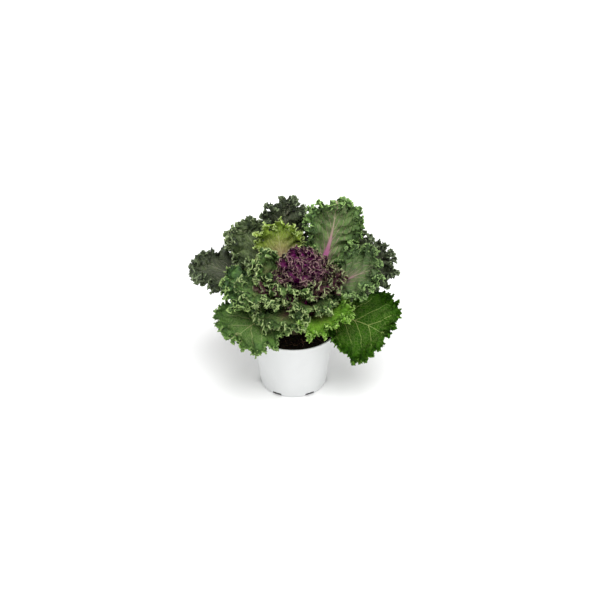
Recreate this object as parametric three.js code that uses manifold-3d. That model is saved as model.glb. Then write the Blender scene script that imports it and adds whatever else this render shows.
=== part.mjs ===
// Ornamental kale in a white nursery pot, in millimetres with +Z up.
// The origin is the middle of the pot's flat underside, so the pot stands on z = 0.
// The front of the plant faces -Y. Every large leaf is one solid: a waved blade of even
// thickness with a midrib that stands out below it, fused to the rod that is its stalk. The
// small leaves of the heart are fused to the growing tip that carries them.

import * as THREE from "three";
import { mergeVertices } from "three/addons/utils/BufferGeometryUtils.js";
import Module from "manifold-3d";

const wasm = await Module();
wasm.setup();

// ---- Driving dimensions -------------------------------------------------------------

const CLEARANCE = 0.35; // gap kept between neighbouring pieces

const POT = {
  height: 86,
  footRadius: 44,
  flare: 1.6, // how far the wall leans out over its lowest stretch
  flareTop: 10,
  wallRadius: 54.5, // outside, just under the lip
  lipRadius: 60,
  lipHeight: 12, // from where the wall turns out to the brim
  wall: 1.5,
  floor: 2.5,
  sides: 36,
  notches: 6,
  notchWidth: 13,
  notchHeight: 4.2,
  notchDepth: 3.2,
};

const SOIL = {
  level: 78,
  lump: 1.6, // height of the lumps on its surface
  sideClearance: 0.6, // to the pot's wall
  sides: 24,
};

const STEM = {
  foot: 48, // height of its lower end, inside the soil
  top: 148,
  radius: 9,
  tipRadius: 7.5,
  leanStart: 70,
  lean: new THREE.Vector2(0.16, 0.02), // sideways per millimetre of rise above leanStart
  sides: 12,
};

const LEAF = {
  columns: 30, // steps along the margin of a large leaf
  smallColumns: 24, // and of a small one
  smallWidth: 66,
  rows: [0, 0.1, 0.62, 1], // where points lie from midrib to margin
  thickness: 0.7,
  stalkRadius: 3.1,
  ribDepth: 2.4, // how far the midrib stands out below the blade, at the stalk
  tooth: 0.046, // share of the width that every other margin point stands out by
  crimp: 0.02, // and share that it is folded up or down by
  wave: 7, // height of the broad folds
  folds: 6.5, // and how many there are along the margin
  stalk: 0.3, // share of the length that is bare stalk
  lastVein: 0.86, // where the foremost veins leave the midrib, as a share of the blade
  veinSweep: 1.6, // how strongly the veins lean forwards
  fullness: 0.8, // below 1 the outline is fuller than an ellipse
  widest: 0.62, // share of the blade that its half width is measured at
  broadening: 0.9, // how much the outline broadens towards the tip
};

const HEART = {
  leaves: 14,
  turn: 137.5, // golden angle between one leaf and the next
  columns: 14,
  rows: [0, 0.5, 1],
  coreRise: 34, // height of the solid core
  coreRadius: 18,
};

// One row for each large leaf. azimuth is the way it points (0 is +X, 90 the back), height is
// where its stalk meets the stem, rise and droop are the slopes of its midrib at the stalk
// and at the tip, roll turns the blade about its midrib and cup folds its sides up.
const LEAVES = [
  { name: "leaf_right_low", colour: "deep", azimuth: -18, height: 91, length: 128, rise: 32, droop: -36,
    width: 109, roll: 36, cup: -0.12, wave: 4, stalk: 0.26 },
  { name: "leaf_front_right", colour: "green", azimuth: -55, height: 100, length: 86, rise: 52, droop: -21,
    width: 74, roll: 18, cup: 0.4, wave: 6, folds: 5.5 },
  { name: "leaf_front_left", colour: "deep", azimuth: 219, height: 98, length: 106, rise: 37, droop: -36,
    width: 106, roll: -5, cup: 0.1, wave: 5, stalk: 0.22 },
  { name: "leaf_left_mid", colour: "green", azimuth: 191, height: 107, length: 104, rise: 46, droop: 4,
    width: 71, roll: -14, cup: 0.15, wave: 6 },
  { name: "leaf_left_far", colour: "dark", azimuth: 158, height: 99, length: 149, rise: 37, droop: 4,
    width: 80, wave: 5, broadening: 1.1 },
  { name: "leaf_left_up", colour: "dark", azimuth: 138, height: 112, length: 132, rise: 43, droop: 42,
    width: 70, wave: 6, broadening: 1.1 },
  { name: "leaf_top_left", colour: "dark", azimuth: 105, height: 102, length: 154, rise: 49, droop: 88,
    width: 50, roll: -10, wave: 5, stalk: 0.33 },
  { name: "leaf_top_right", colour: "green", azimuth: 47, height: 112, length: 152, rise: 44, droop: 86,
    width: 68, roll: 51, cup: 0.1, wave: 6, broadening: 1.2 },
  { name: "leaf_light_inner", colour: "light", azimuth: 121, height: 122, length: 108, rise: 42, droop: 84,
    width: 56, roll: -32, wave: 5, folds: 5.5 },
  { name: "leaf_back_right", colour: "dark", azimuth: 35, height: 90, length: 146, rise: 44, droop: 46,
    width: 74, wave: 5 },
  { name: "leaf_right_far", colour: "dark", azimuth: 15.5, height: 99, length: 146, rise: 33, droop: 35,
    width: 80, roll: 7, wave: 4.5 },
  { name: "leaf_right_mid", colour: "green", azimuth: -8, height: 112, length: 124, rise: 49, droop: 21,
    width: 80, roll: 20, cup: 0.35, wave: 5 },
  { name: "leaf_mid_front_left", colour: "inner", azimuth: 250, height: 105, length: 80, rise: 48, droop: -18,
    width: 64, cup: 0.3, wave: 5, folds: 5.5 },
  { name: "leaf_mid_left", colour: "inner", azimuth: 215, height: 115, length: 92, rise: 51, droop: 6,
    width: 66, cup: 0.3, wave: 4, folds: 5 },
  { name: "leaf_mid_front", colour: "inner", azimuth: 293, height: 110, length: 74, rise: 56, droop: 2,
    width: 53, cup: 0.35, wave: 4, folds: 5 },
  { name: "leaf_inner_right", colour: "inner", azimuth: -36, height: 121, length: 74, rise: 51, droop: 36,
    width: 52, cup: 0.3, wave: 4, folds: 5 },
  { name: "leaf_inner_left", colour: "inner", azimuth: 180, height: 123, length: 80, rise: 47, droop: 62,
    width: 50, roll: -24, cup: 0.3, wave: 4, folds: 5 },
  { name: "leaf_inner_front", colour: "inner", azimuth: 251, height: 124, length: 62, rise: 66, droop: 20,
    width: 50, cup: 0.25, wave: 3.5, folds: 4 },
  { name: "leaf_back_a", colour: "dark", azimuth: 70, height: 84, length: 130, rise: 40, droop: 0,
    width: 82, wave: 6 },
  { name: "leaf_back_b", colour: "dark", azimuth: 120, height: 92, length: 136, rise: 32, droop: -6,
    width: 82, wave: 6 },
  { name: "leaf_inner_back", colour: "inner", azimuth: 157, height: 130, length: 65, rise: 30, droop: 54,
    width: 37, roll: -14, cup: 0.3, wave: 3.5, folds: 4 },
  { name: "leaf_inner_side", colour: "inner", azimuth: 6.5, height: 127, length: 56, rise: 46, droop: 48,
    width: 37, roll: -17, cup: 0.35, wave: 3.5, folds: 4 },
  { name: "leaf_inner_low", colour: "inner", azimuth: 212, height: 131, length: 61, rise: 29, droop: 29,
    width: 38, roll: 9, cup: 0.25, wave: 3.5, folds: 4, seed: 22 },
];

// ---- Materials ----------------------------------------------------------------------

function finish(colour, roughness) {
  return new THREE.MeshStandardMaterial({ color: colour, roughness, metalness: 0 });
}

const LEAF_FINISHES = {
  deep: finish(0x2f5a34, 0.55),
  green: finish(0x5f8f55, 0.6),
  light: finish(0x9db04a, 0.6),
  dark: finish(0x48574f, 0.65),
  inner: finish(0x6f8f5c, 0.6),
};

// ---- Solids and meshes --------------------------------------------------------------

// A closed geometry becomes a solid once its doubled points are joined.
function toSolid(geometry) {
  const bare = geometry.clone();
  bare.deleteAttribute("normal");
  bare.deleteAttribute("uv");
  const joined = mergeVertices(bare, 1e-4);
  const corners = [];
  for (let i = 0; i < joined.index.count; i += 3) {
    const [a, b, c] = [0, 1, 2].map((k) => joined.index.getX(i + k));
    if (a !== b && b !== c && c !== a) {
      corners.push(a, b, c);
    }
  }
  return new wasm.Manifold(new wasm.Mesh({
    numProp: 3,
    vertProperties: new Float32Array(joined.attributes.position.array),
    triVerts: new Uint32Array(corners),
  }));
}

function toMesh(name, solid, material) {
  const { vertProperties, triVerts } = solid.getMesh();
  const geometry = new THREE.BufferGeometry();
  geometry.setAttribute("position", new THREE.BufferAttribute(new Float32Array(vertProperties), 3));
  geometry.setIndex(Array.from(triVerts));
  geometry.computeVertexNormals();
  const mesh = new THREE.Mesh(geometry, material);
  mesh.name = name;
  return mesh;
}

function largestPiece(solid) {
  return solid.decompose().reduce((best, piece) => (piece.volume() > best.volume() ? piece : best));
}

// ---- Curves that the plant grows along ----------------------------------------------

const UP = new THREE.Vector3(0, 0, 1);

function degrees(angle) {
  return THREE.MathUtils.degToRad(angle);
}

function stemAxis(z) {
  const rise = Math.max(0, z - STEM.leanStart);
  return new THREE.Vector3(STEM.lean.x * rise, STEM.lean.y * rise, z);
}

function heading(azimuth) {
  return new THREE.Vector3(Math.cos(degrees(azimuth)), Math.sin(degrees(azimuth)), 0);
}

// The midrib leaves the stem at the leaf's rise and bends to its droop. at(s) gives a point of
// it with the blade's sideways direction and upper normal there, for s from 0 to 1.
function midrib(leaf) {
  const steps = 40;
  const outward = heading(leaf.azimuth);
  const sideways = new THREE.Vector3().crossVectors(UP, outward);
  const points = [stemAxis(leaf.height).addScaledVector(outward, STEM.tipRadius - 1)];
  const slopes = [];
  for (let i = 0; i <= steps; i += 1) {
    slopes.push(degrees(leaf.rise + (leaf.droop - leaf.rise) * (i / steps) ** 1.2));
  }
  const along = (slope) =>
    outward.clone().multiplyScalar(Math.cos(slope)).addScaledVector(UP, Math.sin(slope));
  for (let i = 1; i <= steps; i += 1) {
    const step = along(slopes[i - 1]).add(along(slopes[i])).multiplyScalar(leaf.length / steps / 2);
    points.push(points[i - 1].clone().add(step));
  }
  return (s) => {
    const place = THREE.MathUtils.clamp(s, 0, 1) * steps;
    const i = Math.min(Math.floor(place), steps - 1);
    const slope = THREE.MathUtils.lerp(slopes[i], slopes[i + 1], place - i);
    const upper = new THREE.Vector3().crossVectors(along(slope), sideways);
    const roll = degrees(leaf.roll) * Math.sin((Math.PI / 2) * Math.min(s, 1));
    return {
      point: points[i].clone().lerp(points[i + 1], place - i),
      side: sideways.clone().multiplyScalar(Math.cos(roll)).addScaledVector(upper, Math.sin(roll)),
      normal: sideways.clone().multiplyScalar(-Math.sin(roll)).addScaledVector(upper, Math.cos(roll)),
    };
  };
}

// A round rod along the curve, with [share, radius] pairs for its taper, lowered by a share of
// its own radius so that it stands out under the blade.
function rod(at, taper, sides, lowered, extra) {
  const profile = [new THREE.Vector2(0, taper[0][0])];
  for (const [share, radius] of taper) {
    profile.push(new THREE.Vector2(radius + extra, share));
  }
  profile.push(new THREE.Vector2(0, taper[taper.length - 1][0]));
  const geometry = new THREE.LatheGeometry(profile, sides);
  const position = geometry.attributes.position;
  for (let i = 0; i < position.count; i += 1) {
    const { point, side, normal } = at(position.getY(i));
    const ring = taper.find(([share]) => Math.abs(share - position.getY(i)) < 1e-5);
    point.addScaledVector(side, -position.getX(i));
    point.addScaledVector(normal, position.getZ(i) - lowered * ring[1]);
    position.setXYZ(i, point.x, point.y, point.z);
  }
  return toSolid(geometry);
}

// ---- The waved blade ----------------------------------------------------------------

// A repeatable angle for one of a leaf's waves.
function phase(seed, index) {
  const scattered = Math.sin(seed * 12.9898 + index * 78.233) * 43758.5453;
  return 2 * Math.PI * (scattered - Math.floor(scattered));
}

function ease(x) {
  return THREE.MathUtils.smoothstep(x, 0, 1);
}

// Waves and teeth fade out where the margin runs into the stalk.
function awayFromStalk(w) {
  return ease((Math.PI * (1 - Math.abs(w))) / 1.1);
}

// The unwaved blade. w runs along the margin, from the stalk round the tip at 0 and back, and
// v runs from the midrib to the margin. Veins fan out forwards, and the blade is widest
// beyond its middle.
function plainBlade(leaf, at, w, v) {
  const turn = Math.PI * (1 - Math.abs(w));
  const reach = (1 - Math.cos(turn)) / 2;
  const foot = leaf.lastVein * reach ** leaf.veinSweep;
  const halfWidth = leaf.width / 2;
  const breadth = Math.abs(Math.sin(turn)) ** leaf.fullness * (1 + leaf.broadening * (reach - leaf.widest));
  const across = Math.sign(w) * halfWidth * breadth * v;
  const share = across / halfWidth;
  const { cup, stalk } = leaf;
  const { point, side, normal } = at(stalk + (1 - stalk) * (foot + (reach - foot) * v));
  point.addScaledVector(side, across * (1 - 0.25 * cup * cup * share * share));
  return point.addScaledVector(normal, halfWidth * cup * 0.5 * share * share);
}

// The blade with its broad folds, which grow from the midrib to the margin.
function wavedBlade(leaf, at, w, v) {
  const nudge = 1e-3;
  const before = plainBlade(leaf, at, w - nudge, v);
  const after = plainBlade(leaf, at, w + nudge, v);
  const inner = plainBlade(leaf, at, w, Math.max(v - nudge, 0));
  const outer = plainBlade(leaf, at, w, v + nudge);
  const normal = after.sub(before).cross(outer.sub(inner)).normalize();
  const share = (w + 1) / 2;
  const swing = (rate, index) => Math.sin(2 * Math.PI * share * rate + phase(leaf.seed, index));
  const height = leaf.wave * awayFromStalk(w) * ease((v - 0.2) / 0.8) ** 1.2;
  const angle = 2 * Math.PI * leaf.folds * share + phase(leaf.seed, 0)
    + 0.5 * swing(2.3, 1) + 0.4 * swing(1.3, 2);
  const flare = leaf.flare * awayFromStalk(w) * THREE.MathUtils.clamp((v - 0.6) / 0.4, 0, 1) ** 2;
  return plainBlade(leaf, at, w, v).addScaledVector(normal, height * Math.sin(angle) + flare);
}

// The blade's middle surface as a net of points: every point once, with the margin's teeth.
function bladeNet(leaf, at, columns, rows, spare) {
  const points = [at(leaf.stalk).point];
  const ribShares = [0];
  const ids = [];
  for (let i = 0; i <= columns; i += 1) {
    const veinsLeft = Math.min(i, columns - i);
    const w = Math.sign(i - columns / 2) * (1 - (veinsLeft / (columns / 2)) ** 0.85);
    const column = [];
    for (const [j, v] of rows.entries()) {
      if (veinsLeft === 0 || (j <= 1 && veinsLeft <= 2)) {
        column.push(0);
      } else if (j === 0 && i > columns / 2) {
        column.push(ids[columns - i][0]);
      } else {
        const point = wavedBlade(leaf, at, w, v);
        if (v === 1) {
          const outward = point.clone().sub(wavedBlade(leaf, at, w, v - 0.05)).normalize();
          const sideways = wavedBlade(leaf, at, w + 0.01, v).sub(wavedBlade(leaf, at, w - 0.01, v));
          const across = sideways.cross(outward).normalize();
          const proud = i % 2 === 0 ? 1 : 0;
          const fold = (2 * proud - 1) * (i % 4 < 2 ? 1 : -0.6);
          point.addScaledVector(outward, proud * leaf.tooth * leaf.width * awayFromStalk(w) ** 2 + spare);
          point.addScaledVector(across, fold * leaf.crimp * leaf.width * awayFromStalk(w) ** 2);
        }
        column.push(points.length);
        points.push(point);
        ribShares.push(j === 0 ? ease(i / 4) * (1 - (1.7 * i) / columns) : 0);
      }
    }
    ids.push(column);
  }
  const corners = [];
  const addTriangle = (a, b, c) => {
    if (a !== b && b !== c && c !== a) {
      corners.push(a, b, c);
    }
  };
  for (let i = 0; i < columns; i += 1) {
    for (let j = 0; j + 1 < rows.length; j += 1) {
      const [a, b] = [ids[i][j], ids[i + 1][j]];
      const [d, c] = [ids[i][j + 1], ids[i + 1][j + 1]];
      if (i < columns / 2) {
        addTriangle(a, b, c);
        addTriangle(a, c, d);
      } else {
        addTriangle(a, b, d);
        addTriangle(b, c, d);
      }
    }
  }
  return { points, ribShares, corners, margin: ids.map((column) => column.at(-1)) };
}

// The net gets its thickness: both faces are split alike, and a wall closes the margin.
function blade(leaf, at, columns, rows, spare = 0) {
  const net = bladeNet(leaf, at, columns, rows, spare);
  const count = net.points.length;
  const sheet = new THREE.BufferGeometry().setFromPoints(net.points);
  sheet.setIndex(net.corners);
  sheet.computeVertexNormals();
  const normals = sheet.attributes.normal;
  const points = [];
  for (const [face, ribDepth] of [[1, leaf.ribDepth], [-1, 0]]) {
    net.points.forEach((point, i) => {
      const depth = LEAF.thickness / 2 + ribDepth * net.ribShares[i] + spare;
      const normal = new THREE.Vector3().fromBufferAttribute(normals, i);
      points.push(point.clone().addScaledVector(normal, face * depth));
    });
  }
  const corners = [...net.corners];
  for (let i = 0; i < net.corners.length; i += 3) {
    corners.push(net.corners[i + 2] + count, net.corners[i + 1] + count, net.corners[i] + count);
  }
  for (let i = 0; i + 1 < net.margin.length; i += 1) {
    const [p, q] = [net.margin[i], net.margin[i + 1]];
    corners.push(p, q, q + count);
    corners.push(p, q + count, p + count);
  }
  const geometry = new THREE.BufferGeometry().setFromPoints(points);
  geometry.setIndex(corners);
  return toSolid(geometry);
}

// The stalk runs from inside the stem to a little way into the blade, under its midrib.
function stalkRod(leaf, at, spare = 0) {
  const reach = leaf.stalk + 0.12;
  const taper = [[0, 1], [0.45, 0.9], [0.8, 0.8], [1, 0.35]];
  return rod(at, taper.map(([share, size]) => [share * reach, size * LEAF.stalkRadius]), 6, 0.45, spare);
}

// ---- Pieces -------------------------------------------------------------------------

function pot() {
  const { height, footRadius, flare, flareTop, wallRadius, lipRadius, lipHeight, wall, floor } = POT;
  const outline = [
    [0, 0],
    [footRadius - 0.8, 0],
    [footRadius, 0.8],
    [footRadius + flare, flareTop],
    [wallRadius, height - lipHeight],
    [wallRadius + 1.5, height - 7],
    [lipRadius - 1, height - 1.5],
    [lipRadius, height],
    [lipRadius - 0.8, height + 0.4],
    [lipRadius - 3, height - 0.6],
    [lipRadius - 6.2, height - 2.2],
    [wallRadius - wall, height - 8],
    [wallRadius - wall - 0.3, height - lipHeight],
    [footRadius + flare - wall, flareTop],
    [footRadius - wall, floor],
    [0, floor],
  ];
  const shell = new THREE.LatheGeometry(outline.map(([r, z]) => new THREE.Vector2(r, z)), POT.sides);
  shell.rotateX(Math.PI / 2);
  let solid = toSolid(shell);
  for (let i = 0; i < POT.notches; i += 1) {
    const notch = new THREE.BoxGeometry(2 * POT.notchDepth, POT.notchWidth, 2 * POT.notchHeight);
    notch.translate(footRadius + 1, 0, 0);
    notch.rotateZ((2 * Math.PI * i) / POT.notches);
    solid = solid.subtract(toSolid(notch));
  }
  return solid;
}

function soil(stemHole) {
  const { height, footRadius, flare, flareTop, wallRadius, lipHeight, wall, floor } = POT;
  const fit = wall + SOIL.sideClearance;
  const outline = [
    [0, floor + CLEARANCE],
    [footRadius - fit, floor + CLEARANCE],
    [footRadius + flare - fit, flareTop],
    [wallRadius - 0.3 - fit, height - lipHeight],
    [wallRadius - 0.3 - fit, SOIL.level - 1.5],
    [wallRadius - 10, SOIL.level],
    [wallRadius - 20, SOIL.level],
    [wallRadius - 31, SOIL.level],
    [STEM.radius + 4, SOIL.level],
    [0, SOIL.level + 1],
  ];
  const body = new THREE.LatheGeometry(outline.map(([r, z]) => new THREE.Vector2(r, z)), SOIL.sides);
  body.rotateX(Math.PI / 2);
  const position = body.attributes.position;
  for (let i = 0; i < position.count; i += 1) {
    const [x, y, z] = [position.getX(i), position.getY(i), position.getZ(i)];
    const inside = Math.hypot(x, y) < wallRadius - 5 && z > height - lipHeight;
    const broadLump = Math.sin(x * 0.31 + y * 0.12) * Math.cos(y * 0.27 - x * 0.08);
    const lump = broadLump + 0.5 * Math.sin(x * 0.7 - y * 0.6);
    position.setZ(i, inside ? z + SOIL.lump * lump : z);
  }
  return toSolid(body).subtract(stemHole);
}

function stem(spare = 0) {
  const foot = STEM.foot - spare;
  const rise = STEM.top + spare - foot;
  const at = (s) => ({
    point: stemAxis(foot + rise * s),
    side: new THREE.Vector3(-1, 0, 0),
    normal: new THREE.Vector3(0, -1, 0),
  });
  const taper = [[0, STEM.radius * 0.8], [0.08, STEM.radius], [0.25, STEM.radius], [0.5, STEM.radius - 0.4],
    [0.8, STEM.tipRadius + 0.6], [1, STEM.tipRadius]];
  return rod(at, taper, STEM.sides, 0, spare);
}

// The heart's leaves follow each other by the golden angle, from low and spreading outside
// to short and upright at the tip.
function heartLeaves() {
  const leaves = [];
  for (let i = 0; i < HEART.leaves; i += 1) {
    const inward = i / (HEART.leaves - 1);
    leaves.push({
      ...LEAF,
      seed: 160 + i,
      azimuth: 60 + HEART.turn * i,
      height: STEM.top + 2 + 4 * inward,
      length: 34 + 12 * inward,
      rise: 30 + 50 * inward,
      droop: 46 + 42 * inward,
      width: 40 - 14 * inward,
      roll: 0,
      stalk: 0.04,
      cup: 0.3,
      wave: 3 - inward,
      folds: 3.5,
      flare: 2,
      tooth: 0.09,
      crimp: 0.07,
      ribDepth: 0.6,
    });
  }
  return leaves;
}

// A small solid core carries the crimped leaves, which stand out of it all round.
function heart() {
  const start = STEM.top + CLEARANCE;
  const at = (s) => ({
    point: stemAxis(start + HEART.coreRise * s),
    side: new THREE.Vector3(-1, 0, 0),
    normal: new THREE.Vector3(0, -1, 0),
  });
  const taper = [[0, 0.38], [0.2, 0.7], [0.45, 1], [0.7, 0.9], [0.9, 0.55], [1, 0.2]];
  let solid = rod(at, taper.map(([share, size]) => [share, size * HEART.coreRadius]), 10, 0, 0);
  for (const leaf of heartLeaves()) {
    solid = solid.add(blade(leaf, midrib(leaf), HEART.columns, HEART.rows));
  }
  return solid;
}

// ---- Putting the plant together -----------------------------------------------------

const pieces = new Map(); // the name of each node, with its solid and its material

function assemble() {
  const plant = new THREE.Group();
  const wideStem = stem(CLEARANCE);
  pieces.set("pot", [pot(), finish(0xf2f2f0, 0.4)]);
  pieces.set("soil", [soil(wideStem), finish(0x1c1714, 0.95)]);
  pieces.set("stem", [stem(), finish(0x6b5a44, 0.8)]);
  pieces.set("heart", [heart(), finish(0x6a3560, 0.6)]);
  LEAVES.forEach((row, i) => {
    const leaf = { ...LEAF, roll: 0, cup: 0, flare: 0, seed: i + 1, ...row };
    const at = midrib(leaf);
    const columns = leaf.width < LEAF.smallWidth ? LEAF.smallColumns : LEAF.columns;
    const solid = blade(leaf, at, columns, LEAF.rows).add(stalkRod(leaf, at)).subtract(wideStem);
    pieces.set(leaf.name, [largestPiece(solid), LEAF_FINISHES[leaf.colour]]);
  });
  for (const [name, [solid, material]] of pieces) {
    plant.add(toMesh(name, solid, material));
  }
  return plant;
}

export default assemble();
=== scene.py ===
import math
import random

import bmesh
import bpy
import numpy as np
from mathutils import Matrix, Vector, noise


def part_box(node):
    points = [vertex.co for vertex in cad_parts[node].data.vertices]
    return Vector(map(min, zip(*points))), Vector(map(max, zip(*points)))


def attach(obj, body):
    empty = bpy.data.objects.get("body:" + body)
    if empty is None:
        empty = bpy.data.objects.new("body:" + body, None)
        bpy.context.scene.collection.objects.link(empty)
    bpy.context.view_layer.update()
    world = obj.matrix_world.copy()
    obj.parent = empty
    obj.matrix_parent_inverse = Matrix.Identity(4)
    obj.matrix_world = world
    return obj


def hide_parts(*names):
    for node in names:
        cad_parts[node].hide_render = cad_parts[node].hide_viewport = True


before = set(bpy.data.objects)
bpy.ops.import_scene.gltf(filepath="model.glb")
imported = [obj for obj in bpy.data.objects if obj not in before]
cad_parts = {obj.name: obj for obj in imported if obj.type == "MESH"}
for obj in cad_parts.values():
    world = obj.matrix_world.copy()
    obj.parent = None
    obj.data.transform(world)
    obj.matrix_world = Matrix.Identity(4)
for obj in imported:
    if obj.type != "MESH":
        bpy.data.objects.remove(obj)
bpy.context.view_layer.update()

# ---- Pot ----------------------------------------------------------------------------------
# A thin-walled nursery pot, moulded white outside and near-black inside so that roots see no
# light. It tapers to a rounded foot, and six notches under its edge let water out.

MM = 0.001  # sizes below are in millimetres, and Blender works in metres
LIP_CROWN = 0.4  # the rounded top of the lip stands this far above the pot's height
POT_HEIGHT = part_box("pot")[1].z / MM - LIP_CROWN
LIP_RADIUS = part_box("pot")[1].x / MM
FOOT_RADIUS = 44
HEEL_RADIUS = 45.6  # where the foot's curve meets the wall
HEEL_HEIGHT = 10
WALL_RADIUS = 54.5
WALL = 1.5
WHITE_INSIDE = 1.2  # how far the white reaches down inside the lip
FLOOR_THICKNESS = 2.5
POT_STEPS = 180  # faces round the pot
NOTCHES = 6
NOTCH_WIDTH = 13
NOTCH_HEIGHT = 4.2
NOTCH_DEPTH = 3.2
NOTCH_ROUNDING = 0.7
WHITE_PLASTIC = (0.67, 0.68, 0.68, 1)
BLACK_PLASTIC = (0.010, 0.011, 0.011, 1)


class Link:
    """An output of one of a material's nodes. Arithmetic on it adds Math nodes."""

    def __init__(self, tree, socket=None):
        self.tree = tree
        self.socket = socket

    def node(self, kind, settings=None, inputs=None, output=0):
        """Adds a node of that kind: its settings first, then what goes into its sockets."""
        node = self.tree.nodes.new("ShaderNode" + kind)
        for name, value in (settings or {}).items():
            setattr(node, name, value)
        for name, value in (inputs or {}).items():
            if isinstance(value, Link):
                self.tree.links.new(value.socket, node.inputs[name])
            else:
                node.inputs[name].default_value = value
        return Link(self.tree, node.outputs[output])

    def maths(self, operation, *others):
        """A Math node on this link and the others."""
        return self.node("Math", {"operation": operation}, dict(enumerate([self, *others])))

    def __add__(self, other):
        return self.maths("ADD", other)

    def __sub__(self, other):
        return self.maths("SUBTRACT", other)

    def __rsub__(self, other):
        return self.node("Math", {"operation": "SUBTRACT"}, {0: other, 1: self})

    def __mul__(self, other):
        return self.maths("MULTIPLY", other)

    def __truediv__(self, other):
        return self.maths("DIVIDE", other)

    def __pow__(self, other):
        return self.maths("POWER", other)

    __radd__ = __add__
    __rmul__ = __mul__

    def parts(self):
        """The three parts of this vector."""
        outputs = self.node("SeparateXYZ", None, {0: self}).socket.node.outputs
        return [Link(self.tree, outputs[i]) for i in range(3)]

    def between(self, low, high):
        """0 below low, 1 above high and smooth in between. low may be the higher one."""
        settings = {"interpolation_type": "SMOOTHSTEP"}
        flip = not isinstance(low, Link) and not isinstance(high, Link) and low > high
        if flip:
            low, high = high, low
        inputs = {"Value": self, "From Min": low, "From Max": high}
        step = self.node("MapRange", settings, inputs)
        return 1 - step if flip else step

    def blend(self, start, end):
        """The colour between start and end that lies at this share."""
        return self.node("Mix", {"data_type": "RGBA"}, {0: self, 6: start, 7: end}, 2)

    def noise(self, scale, detail=3, roughness=0.5):
        """Noise at this vector, with about scale lumps in every unit."""
        inputs = {"Vector": self, "Scale": scale, "Detail": detail, "Roughness": roughness}
        return self.node("TexNoise", None, inputs)


def new_material(name, **constants):
    """A Principled material with its constant sockets set, and a link to build its nodes from."""
    material = bpy.data.materials.new(name)
    material.use_nodes = True
    tree = material.node_tree
    shader = tree.nodes["Principled BSDF"]
    for socket, value in constants.items():
        shader.inputs[socket.replace("_", " ")].default_value = value
    return material, Link(tree)


def feed(material, **sockets):
    """Joins links to the sockets of the material's shader."""
    shader = material.node_tree.nodes["Principled BSDF"]
    for name, link in sockets.items():
        material.node_tree.links.new(link.socket, shader.inputs[name.replace("_", " ")])


def dimmed(colour, share):
    """The colour at that share of its brightness."""
    return tuple(share * c for c in colour[:3]) + (1,)


def moulded_plastic(name, colour, roughness):
    """Smooth moulded plastic with faint flow marks and a little dust."""
    material, start = new_material(name, Specular_IOR_Level=0.5)
    place = start.node("TexCoord", output=3)
    marks = place.noise(60, 2)
    dust = place.noise(420, 4)
    feed(
        material,
        Base_Color=(marks.between(0.3, 0.75) * 0.25).blend(colour, dimmed(colour, 0.9)),
        Roughness=roughness + 0.08 * dust,
        Normal=start.node("Bump", None, {"Strength": 0.08, "Distance": 0.0004, "Height": marks}),
    )
    return material


def keep_piece(bm, name, nodes, materials):
    """Makes the finished mesh a piece that stands for the CAD nodes and rides on their body."""
    bmesh.ops.scale(bm, vec=(MM, MM, MM), verts=bm.verts)
    mesh = bpy.data.meshes.new(name)
    bm.to_mesh(mesh)
    bm.free()
    for material in materials:
        mesh.materials.append(material)
    mesh.shade_smooth()
    piece = bpy.data.objects.new(name, mesh)
    bpy.context.scene.collection.objects.link(piece)
    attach(piece, "root")
    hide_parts(*nodes)
    return piece


def lathe(bm, outline, steps):
    """Turns an outline of (radius, height) pairs round the Z axis."""
    verts = [bm.verts.new((radius, 0, height)) for radius, height in outline]
    edges = [bm.edges.new(pair) for pair in zip(verts, verts[1:])]
    bmesh.ops.spin(
        bm, geom=verts + edges, cent=(0, 0, 0), axis=(0, 0, 1),
        angle=2 * math.pi, steps=steps, use_merge=True,
    )
    bmesh.ops.remove_doubles(bm, verts=bm.verts, dist=1e-4)
    bmesh.ops.recalc_face_normals(bm, faces=bm.faces)


def rounded(points, corners):
    """The outline with its corners rounded: corners gives a radius for each point's index."""
    made = []
    for i, point in enumerate(points):
        if i not in corners:
            made.append(point)
            continue
        here, before, after = Vector(point), Vector(points[i - 1]), Vector(points[i + 1])
        start = here + (before - here).normalized() * corners[i]
        end = here + (after - here).normalized() * corners[i]
        for k in range(5):
            t = k / 4
            made.append(tuple(start * (1 - t) ** 2 + here * 2 * t * (1 - t) + end * t * t))
    return made


# From the middle of the underside up the outside, over the lip and down the inside to the floor
pot_outline = rounded(
    [
        (0, 0),
        (FOOT_RADIUS, 0),
        (HEEL_RADIUS, HEEL_HEIGHT),
        (WALL_RADIUS, POT_HEIGHT - 12),
        (WALL_RADIUS + 1.5, POT_HEIGHT - 7),
        (LIP_RADIUS, POT_HEIGHT - 0.4),
        (LIP_RADIUS - 0.8, POT_HEIGHT + LIP_CROWN),
        (LIP_RADIUS - 3, POT_HEIGHT - 0.6),
        (WALL_RADIUS - WALL, POT_HEIGHT - 8),
        (HEEL_RADIUS - WALL, HEEL_HEIGHT),
        (FOOT_RADIUS - WALL, FLOOR_THICKNESS),
        (0, FLOOR_THICKNESS),
    ],
    {1: 1.8, 2: 4, 3: 4, 4: 2, 5: 0.5, 6: 0.5, 7: 1, 8: 2.5, 10: 1},
)
bm = bmesh.new()
lathe(bm, pot_outline, POT_STEPS)
plastics = [
    moulded_plastic("white_plastic", WHITE_PLASTIC, 0.34),
    moulded_plastic("black_plastic", BLACK_PLASTIC, 0.5),
]
pot = keep_piece(bm, "pot_body", ["pot"], plastics)

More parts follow.
